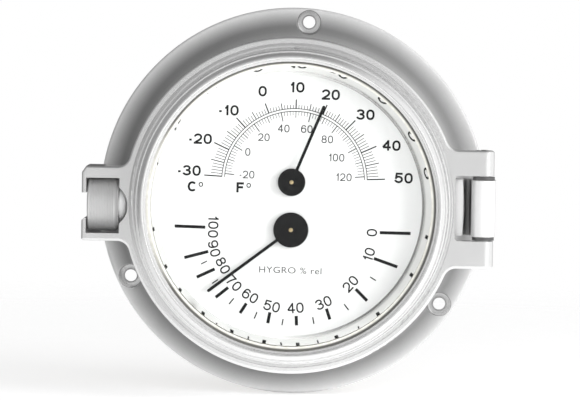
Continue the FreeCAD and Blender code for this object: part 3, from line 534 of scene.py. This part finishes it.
bm = bmesh.new()
for radius in (CELSIUS_RADIUS, FAHRENHEIT_RADIUS):
    arc_band(bm, ARC_CENTRE, radius, ARC_WIDTH,
             start=celsius_angle(50) - ARC_OVERRUN, end=celsius_angle(-30) + ARC_OVERRUN)
temperature_ticks(bm, range(-30, 51), celsius_angle, CELSIUS_RADIUS, CELSIUS_TICKS, power=2)
finish_print("celsius_scale", bm, black)
bm = bmesh.new()
temperature_ticks(bm, range(-20, 121, 2), fahrenheit_angle, FAHRENHEIT_RADIUS,
                  FAHRENHEIT_TICKS, power=1)
finish_print("fahrenheit_scale", bm, fine_grey)

# ------------------------------------------------------------------ humidity scale
# humidity in percent: the tick's inner and outer end, (x, z) in mm from the dial's centre
HUMIDITY_MAJOR = {
    0: ((25.90, -7.55), (34.88, -7.64)), 10: ((24.30, -15.09), (31.18, -17.46)),
    20: ((19.14, -24.14), (22.54, -27.50)), 30: ((10.70, -29.99), (11.77, -33.14)),
    40: ((1.93, -32.28), (2.07, -35.07)), 50: ((-5.77, -31.35), (-6.33, -34.54)),
    60: ((-12.66, -28.84), (-14.48, -31.75)), 70: ((-18.03, -24.29), (-21.66, -27.26)),
    80: ((-22.05, -18.96), (-27.28, -21.43)), 90: ((-23.99, -13.87), (-30.98, -15.78)),
    100: ((-24.95, -6.80), (-33.92, -6.59)),
}
HUMIDITY_MINOR = {
    15: ((23.28, -20.52), (24.99, -21.55)), 25: ((15.83, -28.56), (17.20, -30.29)),
    35: ((6.75, -32.55), (7.13, -34.53)), 45: ((-1.87, -33.21), (-2.19, -35.08)),
    55: ((-9.53, -31.35), (-10.31, -33.29)), 65: ((-16.35, -27.44), (-17.72, -29.15)),
    75: ((-21.04, -22.04), (-22.77, -23.23)), 85: ((-24.33, -16.67), (-26.06, -17.57)),
}
bm = bmesh.new()
for table, width in ((HUMIDITY_MAJOR, 0.00092), (HUMIDITY_MINOR, 0.00036)):
    for inner, outer in table.values():
        bar(bm, dial_point(*inner), dial_point(*outer), width)
finish_print("humidity_scale", bm, black)


# ------------------------------------------------------------------ stroke lettering
def oval(centre_x, centre_y, radius_x, radius_y, start, end, steps=28, power=1.0):
    """Points along an oval between two angles. A power under 1 squares it a little."""
    points = []
    for k in range(steps + 1):
        angle = math.radians(start + (end - start) * k / steps)
        c, s = math.cos(angle), math.sin(angle)
        points.append((centre_x + radius_x * math.copysign(abs(c) ** power, c),
                       centre_y + radius_y * math.copysign(abs(s) ** power, s)))
    return points


def half_turn(points):
    return [(1 - x, 1 - y) for x, y in points]


SIX_BOWL = oval(0.5, 0.315, 0.5, 0.315, 0, 360, 40, 0.92)
SIX_STEM = [(0.0, 0.34), (0.0, 0.50), (0.03, 0.66), (0.09, 0.80), (0.19, 0.91), (0.34, 0.985),
            (0.54, 1.0), (0.72, 0.975), (0.86, 0.90), (0.94, 0.78)]
# each sign: its width against a round figure's, then its strokes as (points on a unit square,
# closed, how many half pen widths it runs on before the start and after the end)
SIGNS = {
    "0": (1.0, [(oval(0.5, 0.5, 0.5, 0.5, 0, 360, 48, 0.86), True, 0, 0)]),
    "1": (0.62, [
        ([(0.86, 0.0), (0.86, 1.0)], False, 1, 1),
        ([(0.08, 0.735), (0.42, 0.77), (0.66, 0.86), (0.84, 1.04)], False, 0, 0)]),
    "2": (1.0, [
        (oval(0.5, 0.705, 0.5, 0.295, 176, -12, 26)
         + [(0.93, 0.52), (0.80, 0.41), (0.60, 0.31), (0.36, 0.20), (0.17, 0.10), (0.06, 0.0)],
         False, 0, 0),
        ([(0.0, 0.0), (1.0, 0.0)], False, 1, 1)]),
    "3": (1.0, [
        (oval(0.48, 0.765, 0.46, 0.235, 172, -90, 26) + [(0.34, 0.53)], False, 0, 0),
        ([(0.34, 0.53)] + oval(0.48, 0.265, 0.52, 0.265, 90, -172, 30), False, 0, 0)]),
    "4": (1.06, [
        ([(0.76, 0.0), (0.76, 1.0)], False, 1, 1),
        ([(0.76, 1.0), (0.0, 0.27)], False, 0, 0),
        ([(0.0, 0.27), (1.0, 0.27)], False, 0, 1)]),
    "5": (1.0, [
        ([(0.92, 1.0), (0.17, 1.0)], False, 1, 1),
        ([(0.17, 1.0), (0.07, 0.50)], False, 0, 1),
        (oval(0.47, 0.325, 0.53, 0.325, 146, -170, 34), False, 0, 0)]),
    "6": (1.0, [(SIX_BOWL, True, 0, 0), (SIX_STEM, False, 0, 0)]),
    "7": (1.0, [
        ([(0.0, 1.0), (1.0, 1.0)], False, 1, 1),
        ([(0.97, 1.0), (0.74, 0.70), (0.55, 0.38), (0.44, 0.0)], False, 0, 1)]),
    "8": (1.0, [
        (oval(0.5, 0.765, 0.44, 0.235, 0, 360, 40, 0.94), True, 0, 0),
        (oval(0.5, 0.265, 0.5, 0.265, 0, 360, 40, 0.94), True, 0, 0)]),
    "9": (1.0, [(half_turn(SIX_BOWL), True, 0, 0), (half_turn(SIX_STEM), False, 0, 0)]),
    "-": (0.46, [([(0.0, 0.36), (1.0, 0.36)], False, 0.4, 0.4)]),
    "C": (1.12, [(oval(0.52, 0.5, 0.52, 0.5, 42, 318, 44, 0.92), False, 0, 0)]),
    "F": (0.92, [
        ([(0.0, 0.0), (0.0, 1.0)], False, 1, 1),
        ([(0.0, 1.0), (1.0, 1.0)], False, 0, 1),
        ([(0.0, 0.52), (0.86, 0.52)], False, 0, 1)]),
    "o": (1.0, [(oval(0.5, 0.5, 0.5, 0.5, 0, 360, 36), True, 0, 0)]),
}


def sign_row(bm, word, at, spin, height, pen, width, gap):
    """Writes signs centred on at, turned anticlockwise by spin degrees.

    height and pen are in metres; a round figure's width and the gap are in heights.
    """
    widths = [SIGNS[sign][0] * width for sign in word]
    x = -(sum(widths) + gap * (len(word) - 1)) / 2
    across = unit(spin)
    half = pen / 2 / height
    for sign, sign_width in zip(word, widths):
        for level, (points, closed, run_in, run_out) in enumerate(SIGNS[sign][1]):
            path = [Vector((x + half + u * (sign_width - 2 * half),
                            half + v * (1 - 2 * half) - 0.5)) for u, v in points]
            if not closed:
                path[0] = path[0] + (path[0] - path[1]).normalized() * half * run_in
                path[-1] = path[-1] + (path[-1] - path[-2]).normalized() * half * run_out
            placed = [(at.x + height * (p.x * across.x - p.y * across.y),
                       at.y + height * (p.x * across.y + p.y * across.x)) for p in path]
            stroke(bm, placed, pen, closed, level * OVERLAP_STEP)
        x += sign_width + gap


def lettering(name, rows, material):
    """One piece of printing from rows of (word, place, spin, style)."""
    bm = bmesh.new()
    for word, at, spin, style in rows:
        sign_row(bm, word, at, spin, **style)
    finish_print(name, bm, material)


TEXT_TURN = -0.9        # degrees; upright text leans a touch clockwise
CELSIUS_STYLE = dict(height=0.00306, pen=0.00060, width=0.80, gap=0.13)
FAHRENHEIT_STYLE = dict(height=0.00228, pen=0.00032, width=0.68, gap=0.13)
HUMIDITY_STYLE = dict(height=0.00304, pen=0.00045, width=0.72, gap=0.12)
UNIT_STYLE = dict(height=0.0030, pen=0.00066, width=0.78, gap=0.1)
DEGREE_STYLE = dict(height=0.00145, pen=0.00030, width=0.92, gap=0.1)

# each number's middle, (x, z) in mm from the dial's centre
CELSIUS_NUMBERS = {
    "-30": (-29.93, 9.70), "-20": (-26.81, 18.98), "-10": (-18.67, 27.41), "0": (-8.85, 33.10),
    "10": (1.15, 34.40), "20": (11.00, 32.39), "30": (21.17, 26.76), "40": (28.82, 17.90),
    "50": (32.58, 8.47)}
FAHRENHEIT_NUMBERS = {
    "-20": (-13.07, 8.77), "0": (-12.91, 15.35), "20": (-8.29, 19.71), "40": (-2.59, 22.36),
    "60": (4.17, 22.29), "80": (10.18, 19.39), "100": (12.92, 14.13), "120": (15.13, 8.45)}
HUMIDITY_NUMBERS = {
    "0": (23.60, -7.58), "10": (22.83, -14.00), "20": (17.60, -22.62), "30": (9.83, -28.31),
    "40": (1.64, -29.95), "50": (-5.22, -29.57), "60": (-11.58, -26.66), "70": (-16.42, -22.98),
    "80": (-19.65, -17.91), "90": (-22.29, -12.99), "100": (-22.65, -6.59)}
HYGRO_HUB = Vector((0.0, -0.0071))


def facing_hub(at):
    """The spin that points a number's top at the hygrometer's hub."""
    out = at - HYGRO_HUB
    return math.degrees(math.atan2(out.y, out.x)) + 90.0


def upright(table, style):
    return [(word, dial_point(*place), TEXT_TURN, style) for word, place in table.items()]


lettering("celsius_numbers", upright(CELSIUS_NUMBERS, CELSIUS_STYLE), black)
lettering("fahrenheit_numbers", upright(FAHRENHEIT_NUMBERS, FAHRENHEIT_STYLE), fine_grey)
lettering("humidity_numbers",
          [(word, dial_point(*place), facing_hub(dial_point(*place)), HUMIDITY_STYLE)
           for word, place in HUMIDITY_NUMBERS.items()], black)
lettering("unit_letters",
          upright({"C": (-28.98, 5.05), "F": (-14.99, 4.98)}, UNIT_STYLE)
          + upright({"o": (-26.43, 5.67)}, DEGREE_STYLE)
          + upright({"o": (-12.50, 5.60)}, DEGREE_STYLE), black)


def caption(name, words, at, height, spin, stretch, spacing, material):
    """A line of type centred on at, its overall height in metres, widened by stretch."""
    curve = bpy.data.curves.new(name, "FONT")
    curve.body = words
    curve.align_x = "CENTER"
    curve.align_y = "CENTER"
    curve.space_character = spacing
    curve.resolution_u = 6
    curve.fill_mode = "BOTH"
    type_ob = bpy.data.objects.new(name + "_type", curve)
    scene.collection.objects.link(type_ob)
    bpy.context.view_layer.update()
    xs = [corner[0] for corner in type_ob.bound_box]
    ys = [corner[1] for corner in type_ob.bound_box]
    middle_x = (max(xs) + min(xs)) / 2
    middle_y = (max(ys) + min(ys)) / 2
    scale = height / (max(ys) - min(ys))
    curve.extrude = INK / 2 / scale
    bpy.context.view_layer.update()
    depsgraph = bpy.context.evaluated_depsgraph_get()
    mesh = bpy.data.meshes.new_from_object(type_ob.evaluated_get(depsgraph))
    bpy.data.objects.remove(type_ob)
    bm = bmesh.new()
    bm.from_mesh(mesh)
    bpy.data.meshes.remove(mesh)
    across = unit(spin)
    for vert in bm.verts:
        x = (vert.co.x - middle_x) * scale * stretch
        z = (vert.co.y - middle_y) * scale
        vert.co = Vector((at.x + x * across.x - z * across.y,
                          DIAL_Y - INK / 2 - vert.co.z * scale,
                          at.y + x * across.y + z * across.x))
    bmesh.ops.remove_doubles(bm, verts=bm.verts, dist=1e-7)
    finish_print(name, bm, material)


caption("humidity_caption", "HYGRO % rel", dial_point(0.01, -18.97), height=0.00185,
        spin=TEXT_TURN, stretch=1.15, spacing=1.06, material=fine_grey)


# ------------------------------------------------------------------ studio
def studio_world():
    """Plain white to the camera; soft grey light that varies with direction to all else."""
    world = bpy.data.worlds.new("studio")
    scene.world = world
    w = Shader(world, "ShaderNodeOutputWorld")
    backdrop = w.node("ShaderNodeBackground", {0: (1, 1, 1, 1), 1: 1.0})
    x, y, z = w.split(w.coords("Generated"))

    def glow(along, start, full, strength):
        return w.remap(along, (start, full), (0.0, strength), interpolation_type="SMOOTHSTEP")

    front = glow(y, start=-0.15, full=-1.0, strength=0.47)
    right = glow(x, start=0.15, full=0.85, strength=0.85)
    left = glow(x, start=-0.15, full=-0.85, strength=0.15)
    below = glow(z, start=0.0, full=-1.0, strength=0.45)
    above = glow(z, start=0.0, full=1.0, strength=0.06)
    base_light = 0.10
    sides = w.add(w.add(front, right), left)
    strength = w.add(sides, w.add(w.add(below, above), base_light))
    light = w.node("ShaderNodeBackground", {0: (1, 1, 1, 1), 1: strength})
    to_camera = w.node("ShaderNodeLightPath").outputs["Is Camera Ray"]
    w.surface(w.node("ShaderNodeMixShader", {
        0: to_camera, 1: light.outputs[0], 2: backdrop.outputs[0]}))


def area_light(name, place, size, power):
    """A rectangular light aimed at the case, unseen by the camera and in reflections."""
    target = Vector((0, -0.02, 0))
    light = bpy.data.lights.new(name, "AREA")
    light.shape = "RECTANGLE"
    light.size, light.size_y = size
    light.energy = power
    light.spread = math.pi
    ob = bpy.data.objects.new(name, light)
    scene.collection.objects.link(ob)
    ob.location = place
    ob.rotation_mode = "QUATERNION"
    ob.rotation_quaternion = (target - Vector(place)).to_track_quat("-Z", "Y")
    ob.visible_camera = False
    ob.visible_glossy = False


def floor_paper():
    """Pale, faintly glowing paper that fades out into the background."""
    m = new_material("floor_paper")
    v = m.coords()
    x, y, z = m.split(v)
    radius = m.math("SQRT", m.add(m.mul(x, x), m.mul(y, y)))
    fade = m.remap(radius, (0.08, 0.45))
    grain = m.noise(v, scale=500.0, detail=3.0)
    tone = m.mix(grain, (0.86, 0.86, 0.86, 1), (0.90, 0.90, 0.90, 1))
    paper = m.node("ShaderNodeBsdfPrincipled", {
        "Base Color": tone, "Emission Color": tone, "Emission Strength": 0.56,
        "Roughness": 0.9, "Specular IOR Level": 0.1})
    clear = m.node("ShaderNodeBsdfTransparent")
    m.surface(m.node("ShaderNodeMixShader", {
        0: fade, 1: paper.outputs[0], 2: clear.outputs[0]}))
    return m.owner


def studio_floor():
    gap_below = 0.0005
    mesh = bpy.data.meshes.new("floor")
    bm = bmesh.new()
    bmesh.ops.create_grid(bm, x_segments=4, y_segments=4, size=2.0)
    bm.to_mesh(mesh)
    bm.free()
    ob = bpy.data.objects.new("floor", mesh)
    scene.collection.objects.link(ob)
    ob.location = (0, 0, CAD_BOX[0].z - gap_below)
    mesh.materials.append(floor_paper())


def studio_camera():
    """A long lens in front of the dial, a little to the right, above and rolled."""
    distance = 1.10
    azimuth, elevation, roll = math.radians(1.0), math.radians(3.0), math.radians(0.9)
    view_width = 0.173188                       # what the frame spans at the origin
    shift_right, shift_up = -0.0008958, 0.0001493
    data = bpy.data.cameras.new("camera")
    ob = bpy.data.objects.new("camera", data)
    scene.collection.objects.link(ob)
    scene.camera = ob
    back = Vector((math.sin(azimuth) * math.cos(elevation),
                   -math.cos(azimuth) * math.cos(elevation),
                   math.sin(elevation)))
    ob.location = back * distance
    ob.rotation_mode = "QUATERNION"
    rolled = Matrix.Rotation(roll, 4, "Z").to_quaternion()
    ob.rotation_quaternion = (-back).to_track_quat("-Z", "Y") @ rolled
    data.sensor_width = 36.0
    data.lens = data.sensor_width * distance / view_width
    data.shift_x = shift_right / view_width
    data.shift_y = shift_up / view_width
    data.clip_start = 0.05
    data.clip_end = 20.0


studio_world()
area_light("key_right", place=(0.52, -0.40, 0.14), size=(0.28, 0.40), power=3.2)
area_light("front_wash", place=(0.05, -1.20, 0.10), size=(0.9, 0.9), power=9.8)
studio_floor()
studio_camera()
scene.view_settings.view_transform = "Standard"
scene.view_settings.look = "None"
